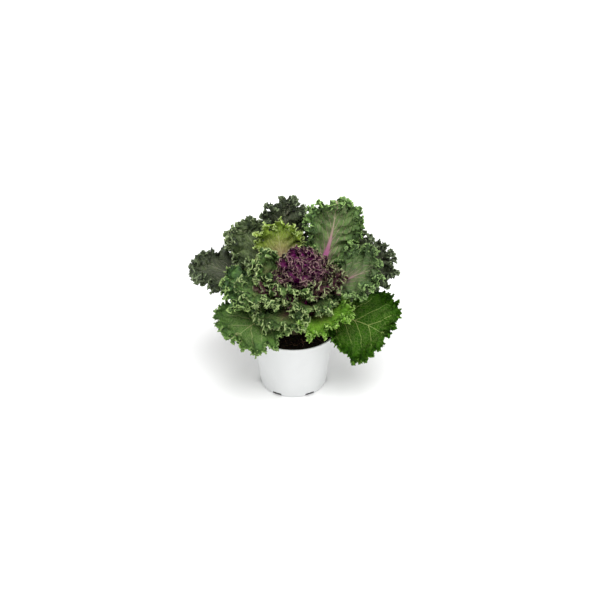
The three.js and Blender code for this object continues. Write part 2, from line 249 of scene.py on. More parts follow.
bm = bmesh.new()
for i in range(NOTCHES):
    cutter = bmesh.ops.create_cube(bm, size=1)["verts"]
    bmesh.ops.scale(bm, vec=(2 * NOTCH_DEPTH, NOTCH_WIDTH, 2 * NOTCH_HEIGHT), verts=cutter)
    bmesh.ops.translate(bm, vec=(FOOT_RADIUS + 1, 0, 0), verts=cutter)
    turn = Matrix.Rotation(i * 2 * math.pi / NOTCHES, 3, "Z")
    bmesh.ops.rotate(bm, cent=(0, 0, 0), matrix=turn, verts=cutter)
bmesh.ops.bevel(
    bm, geom=list(bm.edges), offset=NOTCH_ROUNDING, affect="EDGES", segments=2, profile=0.5, material=-1
)
bmesh.ops.scale(bm, vec=(MM, MM, MM), verts=bm.verts)
notch_mesh = bpy.data.meshes.new("notch_shapes")
bm.to_mesh(notch_mesh)
bm.free()
notch_shapes = bpy.data.objects.new("notch_shapes", notch_mesh)
bpy.context.scene.collection.objects.link(notch_shapes)
cut = pot.modifiers.new("notches", "BOOLEAN")
cut.operation = "DIFFERENCE"
cut.object = notch_shapes
cut.solver = "EXACT"
cut_mesh = bpy.data.meshes.new_from_object(pot.evaluated_get(bpy.context.evaluated_depsgraph_get()))
pot.modifiers.clear()
pot.data = cut_mesh
bpy.data.objects.remove(notch_shapes)
# The outside and the lip are white. The inside, the underside and the notches' tops are black.
for face in cut_mesh.polygons:
    middle, facing = face.center, face.normal
    inward = facing.x * middle.x + facing.y * middle.y < -1e-5
    behind_wall = middle.xy.length < (FOOT_RADIUS - WALL) * MM
    below_lip = middle.z < (POT_HEIGHT - WHITE_INSIDE) * MM
    level = abs(facing.z) > 0.95
    face.material_index = 1 if below_lip and (inward or behind_wall or level) else 0
cut_mesh.set_sharp_from_angle(angle=math.radians(35))

# ---- Soil ---------------------------------------------------------------------------------
# Dark peat potting mix, filled to a little under the lip. Its surface is crumbly, with bits
# of bark and fine brown root fibres lying in it.

SOIL_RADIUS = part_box("soil")[1].x / MM
GAP = 0.2  # keeps the soil's side off the pot
SOIL_LEVEL = 78
SOIL_RINGS = 34
SOIL_STEPS = 150
LUMP_HEIGHT = 1.5
CRUMBLE_HEIGHT = 1.3
CRUMBS = 520
CRUMB_REACH = 52  # how far from the middle crumbs lie
FIBRES = 70
FIBRE_REACH = 50
FIBRE_LIMIT = 51  # a fibre's own points stay within this
FIBRE_TAPER = np.array([0, 1, 1, 1, 1, 0.8, 0])
FIBRE_POINTS = len(FIBRE_TAPER)
PEAT = (0.006, 0.004, 0.003, 1)
DRY_PEAT = (0.03, 0.019, 0.012, 1)
BARK_BITS = (0.055, 0.026, 0.014, 1)
ROOT_FIBRE = (0.18, 0.095, 0.065, 1)


def tube(bm, path, side, normal, radii, sides):
    """A tube along path, its seam still open. side and normal are its cross directions."""
    rows = len(path) - 1
    verts = bmesh.ops.create_grid(bm, x_segments=sides, y_segments=rows, size=0.5)["verts"]
    turn = np.linspace(0, 2 * math.pi, sides + 1)
    ring = np.cos(turn)[None, :, None] * side[:, None, :]
    ring = ring + np.sin(turn)[None, :, None] * normal[:, None, :]
    points = path[:, None, :] + ring * np.asarray(radii)[:, None, None]
    for vert, point in zip(verts, points.reshape(-1, 3)):
        vert.co = point
    return verts


def close_tube(bm, verts):
    """Joins a tube's seam and its pointed ends."""
    faces = {face for vert in verts for face in vert.link_faces}
    bmesh.ops.remove_doubles(bm, verts=verts, dist=1e-3)
    bmesh.ops.recalc_face_normals(bm, faces=[face for face in faces if face.is_valid])


soil_bottom = FLOOR_THICKNESS + 0.35
soil_foot = FOOT_RADIUS - WALL - 0.6
soil_side = SOIL_RADIUS - GAP
soil_outline = [(0, soil_bottom), (soil_foot, soil_bottom), (soil_side, POT_HEIGHT - 12)]
soil_outline += [(soil_side, SOIL_LEVEL - 1)]
soil_outline += [(soil_side * (1 - i / SOIL_RINGS), SOIL_LEVEL) for i in range(1, SOIL_RINGS + 1)]
bm = bmesh.new()
lathe(bm, soil_outline, SOIL_STEPS)
for vert in bm.verts:
    if vert.co.z > SOIL_LEVEL - 2:
        place = vert.co * 0.09
        edge = min(1, (SOIL_RADIUS - vert.co.xy.length) / 3)
        lumps = LUMP_HEIGHT * noise.noise(place)
        lumps += CRUMBLE_HEIGHT * noise.turbulence(place * 4, 4, False)
        vert.co.z += max(edge, 0) * (lumps - 0.4)
draw = random.Random(7)
for i in range(CRUMBS):
    angle, reach = draw.uniform(0, 2 * math.pi), CRUMB_REACH * math.sqrt(draw.uniform(0.05, 1))
    size = draw.uniform(0.5, 1.8) if i % 6 else draw.uniform(1.8, 3)
    crumb = bmesh.ops.create_icosphere(bm, subdivisions=1, radius=size)["verts"]
    for vert in crumb:
        vert.co *= draw.uniform(0.7, 1.15)
    shape = Matrix.Diagonal((1, draw.uniform(0.4, 1), draw.uniform(0.35, 0.8)))
    turn = Matrix.Rotation(draw.uniform(0, 2 * math.pi), 3, "Z")
    tilt = Matrix.Rotation(draw.uniform(-0.6, 0.6), 3, "X")
    bmesh.ops.transform(bm, matrix=(turn @ tilt @ shape).to_4x4(), verts=crumb)
    spot = (reach * math.cos(angle), reach * math.sin(angle), SOIL_LEVEL + draw.uniform(-0.2, 1.0))
    bmesh.ops.translate(bm, vec=spot, verts=crumb)
fibre_layer = bm.verts.layers.float.new("fibre")
for i in range(FIBRES):
    angle, reach = draw.uniform(0, 2 * math.pi), FIBRE_REACH * math.sqrt(draw.uniform(0.1, 1))
    facing, length, bend = draw.uniform(0, 2 * math.pi), draw.uniform(6, 18), draw.uniform(-1.5, 1.5)
    t = np.linspace(0, 1, FIBRE_POINTS)
    heading = facing + bend * t
    path = np.zeros((FIBRE_POINTS, 3))
    path[:, 0] = np.cumsum(np.cos(heading)) * length / FIBRE_POINTS + reach * math.cos(angle)
    path[:, 1] = np.cumsum(np.sin(heading)) * length / FIBRE_POINTS + reach * math.sin(angle)
    far = np.hypot(path[:, 0], path[:, 1])
    path[:, :2] *= np.minimum(1, FIBRE_LIMIT / far)[:, None]
    path[:, 2] = SOIL_LEVEL + 0.6 + draw.uniform(0.2, 1.6) * np.sin(math.pi * t)
    side = np.stack([-np.sin(heading), np.cos(heading), 0 * t], -1)
    up = np.tile((0.0, 0.0, 1.0), (FIBRE_POINTS, 1))
    fibre = tube(bm, path, side, up, draw.uniform(0.16, 0.34) * FIBRE_TAPER, 5)
    for vert in fibre:
        vert[fibre_layer] = 1
    close_tube(bm, fibre)

soil_finish, start = new_material("potting_mix", Roughness=0.95, Specular_IOR_Level=0.15)
place = start.node("TexCoord", output=3)
grain = place.noise(900, 5, 0.65)
patch = place.noise(140, 3)
fibre_mask = start.node("Attribute", {"attribute_name": "fibre"}, None, 2)
peat = grain.between(0.35, 0.75).blend(PEAT, DRY_PEAT)
barky = (patch.between(0.56, 0.7) * 0.7).blend(peat, BARK_BITS)
feed(
    soil_finish,
    Base_Color=fibre_mask.blend(barky, ROOT_FIBRE),
    Normal=start.node("Bump", None, {"Strength": 0.8, "Distance": 0.0008, "Height": grain}),
)
keep_piece(bm, "soil_mix", ["soil"], [soil_finish])

# ---- Stem ---------------------------------------------------------------------------------
# A short woody stem, leaning a little to the right. It is ringed with the scars of the lower
# leaves, which dropped off as the plant grew.

STEM_FOOT = 48  # well below the soil's surface
STEM_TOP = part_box("stem")[1].z / MM - 0.2
STEM_RADIUS = 9
STEM_TIP_RADIUS = 7.5
LEAN_START = 70
LEAN = (0.16, 0.02)  # sideways per millimetre of rise above LEAN_START
STEM_ROWS = 90
STEM_SIDES = 40
GOLDEN_ANGLE = 137.5  # degrees from one leaf or scar to the next
SCARS = 16
FIRST_SCAR = 80  # its height
SCAR_SPACING = 4.3
SCAR_BREADTH = 34  # degrees round the stem
SCAR_HEIGHT = 3.2
GREEN_BARK = (0.11, 0.10, 0.045, 1)
PURPLE_BARK = (0.21, 0.12, 0.10, 1)
PALE_STREAKS = (0.33, 0.27, 0.17, 1)


def stem_axis(z):
    """The middle of the stem at height z."""
    rise = max(0, z - LEAN_START)
    return np.array([LEAN[0] * rise, LEAN[1] * rise, z])


def ease(x):
    """0 up to 0, 1 from 1 on and smooth in between."""
    x = np.clip(x, 0, 1)
    return x * x * (3 - 2 * x)


bm = bmesh.new()
share = np.linspace(0, 1, STEM_ROWS + 1)
heights = STEM_FOOT + (STEM_TOP - STEM_FOOT) * share
path = np.array([stem_axis(z) for z in heights])
ends = np.minimum(ease(share * 30), ease((1 - share) * 60)) ** 0.5
radii = ends * (STEM_RADIUS + (STEM_TIP_RADIUS - STEM_RADIUS) * share)
side = np.tile((1.0, 0, 0), (STEM_ROWS + 1, 1))
normal = np.tile((0, 1.0, 0), (STEM_ROWS + 1, 1))
stem_verts = tube(bm, path, side, normal, radii, STEM_SIDES)
for vert in stem_verts:
    axis = Vector(stem_axis(vert.co.z))
    out = vert.co - axis
    if out.length > 0.5:
        angle = math.degrees(math.atan2(out.y, out.x))
        scar = 0
        for i in range(SCARS):
            height = FIRST_SCAR + i * SCAR_SPACING
            across = ((angle - GOLDEN_ANGLE * i + 180) % 360 - 180) / SCAR_BREADTH
            up = (vert.co.z - height) / SCAR_HEIGHT
            scar += math.exp(-((across * across + up * up - 0.8) ** 2) * 5)
        vert.co = axis + out * (1 + 0.05 * scar + 0.04 * noise.noise(vert.co * 0.35))
close_tube(bm, stem_verts)
stem_finish, start = new_material("stem_bark", Specular_IOR_Level=0.3)
place = start.node("TexCoord", output=3)
drawn_out = place.node("Mapping", {"vector_type": "POINT"}, {"Vector": place, "Scale": (1, 1, 0.25)})
streak = drawn_out.noise(700, 4)
mottle = place.noise(120, 3)
bark = mottle.between(0.35, 0.7).blend(GREEN_BARK, PURPLE_BARK)
feed(
    stem_finish,
    Base_Color=(streak.between(0.5, 0.8) * 0.6).blend(bark, PALE_STREAKS),
    Roughness=0.5 + 0.3 * streak,
    Normal=start.node("Bump", None, {"Strength": 0.5, "Distance": 0.0006, "Height": streak}),
)
keep_piece(bm, "stem_wood", ["stem"], [stem_finish])

# ---- Large leaves -------------------------------------------------------------------------
# Each leaf grows out of the stem on a fleshy stalk that runs on as its midrib. The blade is
# thin, waxy and broadly folded, and its margin is crimped into ruffles and curls.

# What a leaf has unless its row below says otherwise. Slopes and turns are in degrees.
LEAF = {
    "stalk": 0.3,  # share of the length that is bare stalk
    "roll": 0,  # turn about its own midrib
    "cup": 0,  # how far its sides fold up
    "flare": 0,  # how far its margin bends down, or up where this is below 0
    "broadening": 0.9,  # how much the outline broadens towards the tip
    "wave": 7,  # height of the broad folds, and their number
    "folds": 6.5,
    "frill": 1.1,  # how strongly the margin is crimped
    "depth": 1,  # how deep into the blade the crimping reaches, against FOLDS
    "lobes": 1,  # how far the margin's lobes stick out, against FOLDS
    "column": 2.7,  # width at the margin of a column of the net's inner part
    "stalk_radius": 3.1,
    "thickness": 0.55,
}
# The net's bands from midrib to margin: rows, columns for one of the inner band, and outer end
BANDS = ((4, 1, 0.42), (4, 3, 0.76), (6, 9, 1))
# Three sizes of fold in the margin: how long one is, how high it stands, how far in from the
# margin it reaches, how far it sticks out, how far it leans over, how much it winds about and
# how much it counts for the crests' paler colour, which is partly a painted highlight, and for
# the painted shade in the hollows.
FOLDS = (
    dict(length=18, height=5.8, reach=26, lobe=4.5, sway=0.5, winding=0.9, shading_weight=0.35),
    dict(length=8, height=3.1, reach=15, lobe=2.4, sway=0.5, winding=1.8, shading_weight=0.45),
    dict(length=4.2, height=1.5, reach=8, lobe=1.7, sway=0.4, winding=0.6, shading_weight=0.3),
)
# azimuth is the way a leaf points, where 0 is right and 90 the back, height is where it leaves
# the stem, and rise and droop are the slopes of its midrib where it starts and at its tip.
LEAVES = [
    dict(name="right_low", skin="deep", azimuth=-18, height=91, length=128, rise=32, droop=-36,
         width=109, roll=36, cup=-0.12, wave=4, stalk=0.26, frill=0.8, lobes=0.6, depth=1.5),
    dict(name="front_right", skin="bright", azimuth=-55, height=100, length=86, rise=52, droop=-21,
         width=74, roll=18, cup=0.4, wave=6, folds=5.5, frill=1.0),
    dict(name="front_left", skin="front", azimuth=219, height=98, length=106, rise=37, droop=-36,
         width=106, roll=-5, cup=0.1, wave=5, stalk=0.22, frill=0.8, lobes=0.75, depth=1.2),
    dict(name="left_mid", skin="green", azimuth=191, height=107, length=104, rise=46, droop=4,
         width=71, roll=-14, cup=0.15, wave=6, depth=1.4),
    dict(name="left_far", skin="dark", azimuth=158, height=99, length=149, rise=37, droop=4,
         width=80, wave=5, depth=1.3, lobes=1.3, broadening=1.1),
    dict(name="left_up", skin="grey", azimuth=138, height=112, length=132, rise=43, droop=42,
         width=70, wave=6, depth=1.5, lobes=1.3, broadening=1.1),
    dict(name="top_left", skin="dark", azimuth=105, height=102, length=154, rise=49, droop=88,
         width=50, roll=-10, wave=5, stalk=0.33, depth=1.5, lobes=1.3),
    dict(name="top_right", skin="fan", azimuth=47, height=112, length=152, rise=44, droop=86,
         width=68, roll=51, cup=0.1, wave=6, stalk_radius=3.6, depth=1.8, broadening=1.2),
    dict(name="light_inner", skin="light", azimuth=121, height=122, length=108, rise=42, droop=84,
         width=56, roll=-32, flare=-4, wave=5, folds=5.5, frill=0.8, depth=1.2, lobes=1.2),
    dict(name="back_right", skin="dark", azimuth=35, height=90, length=146, rise=44, droop=46,
         width=74, wave=5, column=3.6),
    dict(name="right_far", skin="dark", azimuth=15.5, height=99, length=146, rise=33, droop=35,
         width=80, roll=7, wave=4.5, depth=1.3),
    dict(name="right_mid", skin="pink", azimuth=-8, height=112, length=124, rise=49, droop=21,
         width=80, roll=20, cup=0.35, wave=5, depth=1.4),
    dict(name="mid_front_left", skin="inner", azimuth=250, height=105, length=80, rise=48, droop=-18,
         width=64, cup=0.3, wave=5, folds=5.5, depth=1.5),
    dict(name="mid_left", skin="inner", azimuth=215, height=115, length=92, rise=51, droop=6,
         width=66, cup=0.3, wave=4, folds=5, depth=1.6),
    dict(name="mid_front", skin="inner", azimuth=293, height=110, length=74, rise=56, droop=2,
         width=53, cup=0.35, wave=4, folds=5, depth=1.5),
    dict(name="inner_right", skin="young", azimuth=-36, height=121, length=74, rise=51, droop=36,
         width=52, cup=0.3, wave=4, folds=5),
    dict(name="inner_left", skin="inner", azimuth=180, height=123, length=80, rise=47, droop=62,
         width=50, roll=-24, cup=0.3, wave=4, folds=5, frill=1.3, depth=1.4),
    dict(name="inner_front", skin="inner", azimuth=251, height=124, length=62, rise=66, droop=20,
         width=50, cup=0.25, wave=3.5, folds=4),
    dict(name="back_a", skin="dark", azimuth=70, height=84, length=130, rise=40, droop=0,
         width=82, wave=6, frill=0.8, column=3.6, lobes=0.7),
    dict(name="back_b", skin="dark", azimuth=120, height=92, length=136, rise=32, droop=-6,
         width=82, wave=6, frill=0.8, column=3.6, lobes=0.7),
    dict(name="inner_back", skin="inner", azimuth=157, height=130, length=65, rise=30, droop=54,
         width=37, roll=-14, cup=0.3, wave=3.5, folds=4, frill=1.2),
    dict(name="inner_side", skin="young", azimuth=6.5, height=127, length=56, rise=46, droop=48,
         width=37, roll=-17, cup=0.35, wave=3.5, folds=4, frill=1.2),
    dict(name="inner_low", skin="young", azimuth=212, height=131, length=61, rise=29, droop=29,
         width=38, roll=9, cup=0.25, wave=3.5, folds=4, frill=1.2, seed=22),
]
# What each point of a leaf keeps for its skin: its share of the length, its share of the way
# from midrib to margin and its age; its place in millimetres; and how far it stands up as a
# crest or sinks as a hollow, which the skin turns into paler crests, partly a painted highlight,
# and painted shade in the hollows, and how far it lies from the margin.
POINT_LAYERS = ("on_leaf", "in_mm", "in_frill")
MIDRIB_STEPS = 40
SUNK = 1  # how far a stalk starts inside the bark
MARGIN_SAMPLES = 101
RIB_POINTS = 46
RIB_SIDES = 12
RIB_END = 0.94  # share of the length at which the midrib runs out
WAX_BLOOM = (0.26, 0.30, 0.25, 1)
OLD_FLESH = (0.075, 0.060, 0.028, 1)  # of a heart leaf that is turning green
PINK_RIB = (0.50, 0.045, 0.33, 1)
TWIG_SPACING = 6.5


def phase(seed, index):
    """A repeatable angle for one of a leaf's waves."""
    scattered = math.sin(seed * 12.9898 + index * 78.233) * 43758.5453
    return 2 * math.pi * (scattered - math.floor(scattered))


def midrib(leaf):
    """The curve of a leaf's midrib: its point, sideways direction and upper normal at a share."""
    azimuth = math.radians(leaf["azimuth"])
    outward = np.array([math.cos(azimuth), math.sin(azimuth), 0])
    sideways = np.array([-math.sin(azimuth), math.cos(azimuth), 0])
    up = np.array([0, 0, 1.0])
    share = np.linspace(0, 1, MIDRIB_STEPS + 1)
    slope = np.radians(leaf["rise"] + (leaf["droop"] - leaf["rise"]) * share**1.2)
    along = np.cos(slope)[:, None] * outward + np.sin(slope)[:, None] * up
    points = np.zeros((MIDRIB_STEPS + 1, 3))
    points[1:] = np.cumsum((along[1:] + along[:-1]) / 2 * leaf["length"] / MIDRIB_STEPS, 0)
    points += stem_axis(leaf["height"]) + outward * (STEM_TIP_RADIUS - SUNK)

    def at(s):
        s = np.clip(s, 0, 1)
        point = np.stack([np.interp(s, share, points[:, i]) for i in range(3)], -1)
        here = np.interp(s, share, slope)[..., None]
        upper = np.cross(np.cos(here) * outward + np.sin(here) * up, sideways)
        roll = (math.radians(leaf["roll"]) * np.sin(math.pi / 2 * s))[..., None]
        side = sideways * np.cos(roll) + upper * np.sin(roll)
        return point, side, upper * np.cos(roll) - sideways * np.sin(roll)

    return at


def away_from_stalk(w):
    """Folds fade out where the margin runs into the stalk."""
    return ease(math.pi * (1 - np.abs(w)) / 1.1)


def plain_blade(leaf, at, w, v):
    """The unwaved blade. w runs round the margin, and v from the midrib to the margin. Gives
    its points, their share of the leaf's length and how many millimetres across it they lie."""
    turn = math.pi * (1 - np.abs(w))
    reach = (1 - np.cos(turn)) / 2
    foot = 0.86 * reach**1.6
    half_width = leaf["width"] / 2
    breadth = np.abs(np.sin(turn)) ** 0.8 * (1 + leaf["broadening"] * (reach - 0.62))
    across = np.sign(w) * half_width * breadth * v
    share = across / half_width
    along = leaf["stalk"] + (1 - leaf["stalk"]) * (foot + (reach - foot) * v)
    point, side, normal = at(along)
    cup = leaf["cup"]
    point = point + side * (across * (1 - 0.25 * cup * cup * share * share))[..., None]
    point = point + normal * (half_width * cup * 0.5 * share * share)[..., None]
    return point, along, across


def unit(vectors):
    """The vectors at a length of 1."""
    return vectors / np.maximum(np.linalg.norm(vectors, axis=-1, keepdims=True), 1e-9)


def waved_blade(leaf, at, w, v):
    """The blade with its broad folds."""
    nudge = 1e-3
    after = plain_blade(leaf, at, w + nudge, v)[0]
    before = plain_blade(leaf, at, w - nudge, v)[0]
    outer = plain_blade(leaf, at, w, v + nudge)[0]
    inner = plain_blade(leaf, at, w, np.maximum(v - nudge, 0))[0]
    normal = unit(np.cross(after - before, outer - inner))
    share = (w + 1) / 2
    seed = leaf["seed"]
    swing = 0.5 * np.sin(2 * math.pi * share * 2.3 + phase(seed, 1))
    swing += 0.4 * np.sin(2 * math.pi * share * 1.3 + phase(seed, 2))
    angle = 2 * math.pi * leaf["folds"] * share + phase(seed, 0) + swing
    height = leaf["wave"] * away_from_stalk(w) * ease((v - 0.2) / 0.8) ** 1.2
    flare = leaf["flare"] * away_from_stalk(w) * np.clip((v - 0.6) / 0.4, 0, 1) ** 2
    return plain_blade(leaf, at, w, v)[0] + normal * (height * np.sin(angle) + flare)[..., None]


def directions(points):
    """Normal, along the margin and outward at each point of a net."""
    along = np.gradient(points, axis=0)
    across = np.gradient(points, axis=1)
    normal = unit(np.cross(along, across))
    along = unit(along)
    outward = np.cross(normal, along)
    outward *= np.sign((outward * across).sum(-1, keepdims=True) + 1e-12)
    return normal, along, outward


def along_margin(run, period, seed, index):
    """A slow wave along the margin, from -1 to 1."""
    return np.sin(2 * math.pi * run / period + phase(seed, index))


def crimped(points, w, v, leaf, seed, fold):
    """Adds folds of one size, which grow towards the margin and stick out of it as lobes. Gives
    the new points, and how far each one was lifted as a share of the fold's height."""
    length = fold["length"]
    height = fold["height"] * leaf["frill"]
    reach = fold["reach"] * leaf["depth"]
    normal, along, outward = directions(points)
    run = np.linalg.norm(np.diff(points[:, -1], axis=0), axis=1)
    run = np.concatenate([[0], np.cumsum(run)])[:, None]
    drift = along_margin(run, length * 4.7, seed, 10) + 0.8 * along_margin(run, length * 2.9, seed, 11)
    swell = 1 + 0.3 * along_margin(run, length * 3.7, seed, 4)
    swell += 0.25 * along_margin(run, length * 1.9, seed, 5)
    steps = np.linalg.norm(np.diff(points, axis=1), axis=2)
    to_margin = np.cumsum(steps[:, ::-1], axis=1)[:, ::-1]
    to_margin = np.concatenate([to_margin, np.zeros((len(points), 1))], axis=1)
    bend = 1.3 * along_margin(run, length * 3.3, seed, 7)
    winding = np.sin(2 * math.pi * to_margin / (length * 1.5) + bend + phase(seed, 6))
    angle = 2 * math.pi * run / length + drift + phase(seed, 3) + fold["winding"] * winding
    near = away_from_stalk(w) * ease(v / 0.3)
    grown = near * np.clip(1 - to_margin / reach, 0, 1) ** 1.15
    edge = near * np.clip(1 - to_margin / (0.6 * fold["reach"]), 0, 1) ** 1.5
    bulge = 2 * np.abs(np.cos(angle / 2)) ** 0.7 - 1.1
    lean = fold["sway"] * height * grown * np.sin(2 * angle + 0.4)
    lift = swell * grown * np.sin(angle)
    points = points + normal * (height * lift)[..., None] + along * lean[..., None]
    return points + outward * (leaf["lobes"] * fold["lobe"] * edge * bulge)[..., None], lift


def flat_net(bm, columns):
    """A blade's net laid flat, with x the column and y the row. Its outer bands are finer."""
    finest = columns * BANDS[-1][1]
    first_row = 0
    for i, (rows, split, _) in enumerate(BANDS):
        band = bmesh.ops.create_grid(bm, x_segments=columns * split, y_segments=rows, size=0.5)["verts"]
        for vert in band:
            vert.co = ((vert.co.x + 0.5) * finest, (vert.co.y + 0.5) * rows + first_row, 0)
        first_row += rows
        if i + 1 < len(BANDS):
            edges = {edge for vert in band for edge in vert.link_edges}
            seam = [edge for edge in edges if all(vert.co.y > first_row - 0.5 for vert in edge.verts)]
            bmesh.ops.subdivide_edges(bm, edges=seam, cuts=BANDS[i + 1][1] // split - 1)
    bmesh.ops.remove_doubles(bm, verts=bm.verts, dist=0.1)


def thicken(bm, thickness):
    """Turns a sheet into a closed shell: a second face behind it, and a wall round its edge."""
    bm.normal_update()
    facing = bm.verts.layers.float_vector.new("facing")
    for vert in bm.verts:
        vert[facing] = vert.normal
    made = bmesh.ops.extrude_face_region(bm, geom=bm.faces[:], use_keep_orig=True)["geom"]
    for vert in made:
        if isinstance(vert, bmesh.types.BMVert):
            vert.co -= vert[facing] * thickness
    bm.verts.layers.float_vector.remove(facing)
    bmesh.ops.recalc_face_normals(bm, faces=bm.faces)


def leaf_mesh():
    """An empty mesh with the leaf's point layers."""
    bm = bmesh.new()
    for name in POINT_LAYERS:
        bm.verts.layers.float_vector.new(name)
    return bm


def point_layers(bm):
    """The mesh's layers named in POINT_LAYERS."""
    return [bm.verts.layers.float_vector[name] for name in POINT_LAYERS]


def add_blade(bm, leaf, age=0.0):
    """Builds a leaf's blade into bm, with its points' layers filled."""
    at = midrib(leaf)
    margin = waved_blade(leaf, at, np.linspace(-1, 1, MARGIN_SAMPLES)[:, None], np.ones((1, 1)))[:, 0]
    columns = round(np.linalg.norm(np.diff(margin, axis=0), axis=1).sum() / leaf["column"])
    w = np.linspace(-1, 1, columns * BANDS[-1][1] + 1)[:, None]
    v = [0.0]
    for rows, _, end in BANDS:
        v.extend(np.linspace(v[-1], end, rows + 1)[1:])
    v = np.array(v)[None, :]
    points = waved_blade(leaf, at, w, v)
    crest_and_hollow_shading = 0
    for i, fold in enumerate(FOLDS):
        points, lift = crimped(points, w, v, leaf, leaf["seed"] + 50 * i, fold)
        crest_and_hollow_shading = crest_and_hollow_shading + fold["shading_weight"] * lift
    _, along, across = plain_blade(leaf, at, w, v)
    inset = np.linalg.norm(points - points[:, -1:], axis=2)
    blade = leaf_mesh()
    flat_net(blade, columns)
    on_leaf, in_mm, in_frill = point_layers(blade)
    for vert in blade.verts:
        column, row = round(vert.co.x), round(vert.co.y)
        s, y = along[column, row], across[column, row]
        vert.co = points[column, row]
        vert[on_leaf] = (s, v[0, row], age)
        vert[in_mm] = (s * leaf["length"], abs(y), 10 * leaf["seed"])
        vert[in_frill] = (crest_and_hollow_shading[column, row], inset[column, row], 0)
    bmesh.ops.remove_doubles(blade, verts=blade.verts, dist=2e-3)
    thicken(blade, leaf["thickness"])
    part = bpy.data.meshes.new("part")
    blade.to_mesh(part)
    blade.free()
    bm.from_mesh(part)
    bpy.data.meshes.remove(part)


def add_rib(bm, leaf):
    """The stalk, which runs on under the blade as its midrib."""
    on_leaf, in_mm, in_frill = point_layers(bm)
    s = np.linspace(0, RIB_END, RIB_POINTS)
    point, side, normal = midrib(leaf)(s)
    radii = leaf["stalk_radius"] * (1 - 0.9 * s) ** 0.9
    radii[0] = radii[-1] = 0
    path = point - normal * (0.45 * radii)[:, None]
    verts = tube(bm, path, side, normal * 0.8, radii, RIB_SIDES)
    for vert, share in zip(verts, np.repeat(s, RIB_SIDES + 1)):
        vert[on_leaf] = (share, 0, 0)
        vert[in_mm] = (share * leaf["length"], 0, 10 * leaf["seed"])
        vert[in_frill] = (0, leaf["width"] / 2, 0)
    close_tube(bm, verts)


def leaf_skin(name, blade, shade, rib, vein, margin, pink=0.0, lean=1.0, rib_size=3.2, spacing=15,
              blush=13, bloom=0.0, gloss=0.2, rim_width=2.8, old_margin=None):
    """Waxy leaf skin. Veins run out from the midrib and branch, fine veins net the blade, and
    the crimped margin is paler. rib is the midrib's colour, which fades into vein's. lean is how
    steeply the side veins rise, pink how much of the rib's colour spreads over the flesh beside
    it and blush how far, and bloom how much grey wax lies on it."""
    material, start = new_material(
        name, Subsurface_Weight=0.12, Subsurface_Radius=(0.002, 0.003, 0.001), Specular_IOR_Level=gloss
    )
    s, v, age = start.node("Attribute", {"attribute_name": "on_leaf"}, None, 1).parts()
    place = start.node("Attribute", {"attribute_name": "in_mm"}, None, 1)
    x, y, _ = place.parts()
    crest_and_hollow_shading, inset, _ = start.node("Attribute", {"attribute_name": "in_frill"}, None, 1).parts()
    body = start.node("TexCoord", output=3)
    broad = body.noise(28, 2)
    mottle = body.noise(130, 4)
    knobs = body.noise(330, 2)
    fine = body.noise(900, 3)

    # Side veins, one in each stretch of spacing along the midrib
    run = x - lean * y + 9 * broad + 3 * mottle + 0.004 * y * y
    cell = (run / spacing).maths("FRACT")
    main_distance = (cell - 0.5).maths("ABSOLUTE") * spacing
    main_width = 0.25 + (0.6 + 0.06 * rib_size) * (1 - v) ** 1.5 * (1.3 - s)
    main = 1 - main_distance.between(main_width * 0.5, main_width)
    # Twigs that branch off them, and the fine net between
    ahead = (cell + 0.5).maths("FRACT")
    twig_run = x - (lean + 1.3) * y + 5 * mottle
    twig_cell = (twig_run / TWIG_SPACING).maths("FRACT")
    twig_distance = (twig_cell - 0.5).maths("ABSOLUTE") * TWIG_SPACING
    twig = (1 - twig_distance.between(0.12, 0.5)) * (1 - ahead) * v.between(0.12, 0.3)
    cells = start.node("TexVoronoi", {"feature": "DISTANCE_TO_EDGE"}, {"Vector": place, "Scale": 0.26})
    net = cells.between(0.16, 0.02)
    veins = main.maths("MAXIMUM", twig * 0.55).maths("MAXIMUM", net * 0.22) * v.between(1.0, 0.5)
    rib_width = 0.4 + rib_size * (1 - s) ** 2
    rib_mask = 1 - y.between(rib_width * 0.4, rib_width)

    flesh = mottle.between(0.3, 0.7).blend(shade, blade)
    flesh = (broad.between(0.35, 0.65) * 0.5).blend(flesh, dimmed(blade, 0.6))
    if old_margin:
        aged = (age + 0.5 * mottle - 0.25).between(0.25, 0.75)
        margin = aged.blend(margin, old_margin)
        flesh = (aged * 0.5).blend(flesh, OLD_FLESH)
    if pink:
        haze = (1 - y.between(1.5, blush)) * s.between(0.95, 0.4) * pink
        flesh = haze.blend(flesh, rib)
    vein_colour = (s.between(0.25, 0.75) * 0.7 + 0.3 * v).blend(rib, vein)
    flesh = (veins * 0.9).blend(flesh, vein_colour)
    flesh = rib_mask.blend(flesh, s.between(0.35, 0.9).blend(rib, vein))
    # The crests of the folds turn towards the margin's paler colour: partly their own paler colour,
    # partly a painted highlight.
    flesh = (crest_and_hollow_shading.between(0, 0.6) * 0.4).blend(flesh, margin)
    # The hollows of the folds get painted shade, a dimmed copy of the shade colour.
    flesh = (crest_and_hollow_shading.between(0.1, -0.5) * 0.8).blend(flesh, dimmed(shade, 0.35))
    rim = inset.between(rim_width, 0.1 * rim_width) * (0.4 + 0.85 * knobs.between(0.35, 0.62))
    flesh = rim.blend(flesh, margin)
    if bloom:
        flesh = (bloom * fine.between(0.3, 0.7)).blend(flesh, WAX_BLOOM)
    quilting = 0.5 * main_distance.between(0, 4) + 0.3 * twig_distance.between(0, 2)
    relief = mottle * 0.6 + fine * 0.15 + quilting * v.between(0, 0.3) - net * 0.2
    relief = relief * (1 - rib_mask)
    feed(
        material,
        Base_Color=flesh,
        Roughness=0.42 + 0.25 * mottle,
        Normal=start.node("Bump", None, {"Strength": 0.8, "Distance": 0.0025, "Height": relief}),
    )
    return material
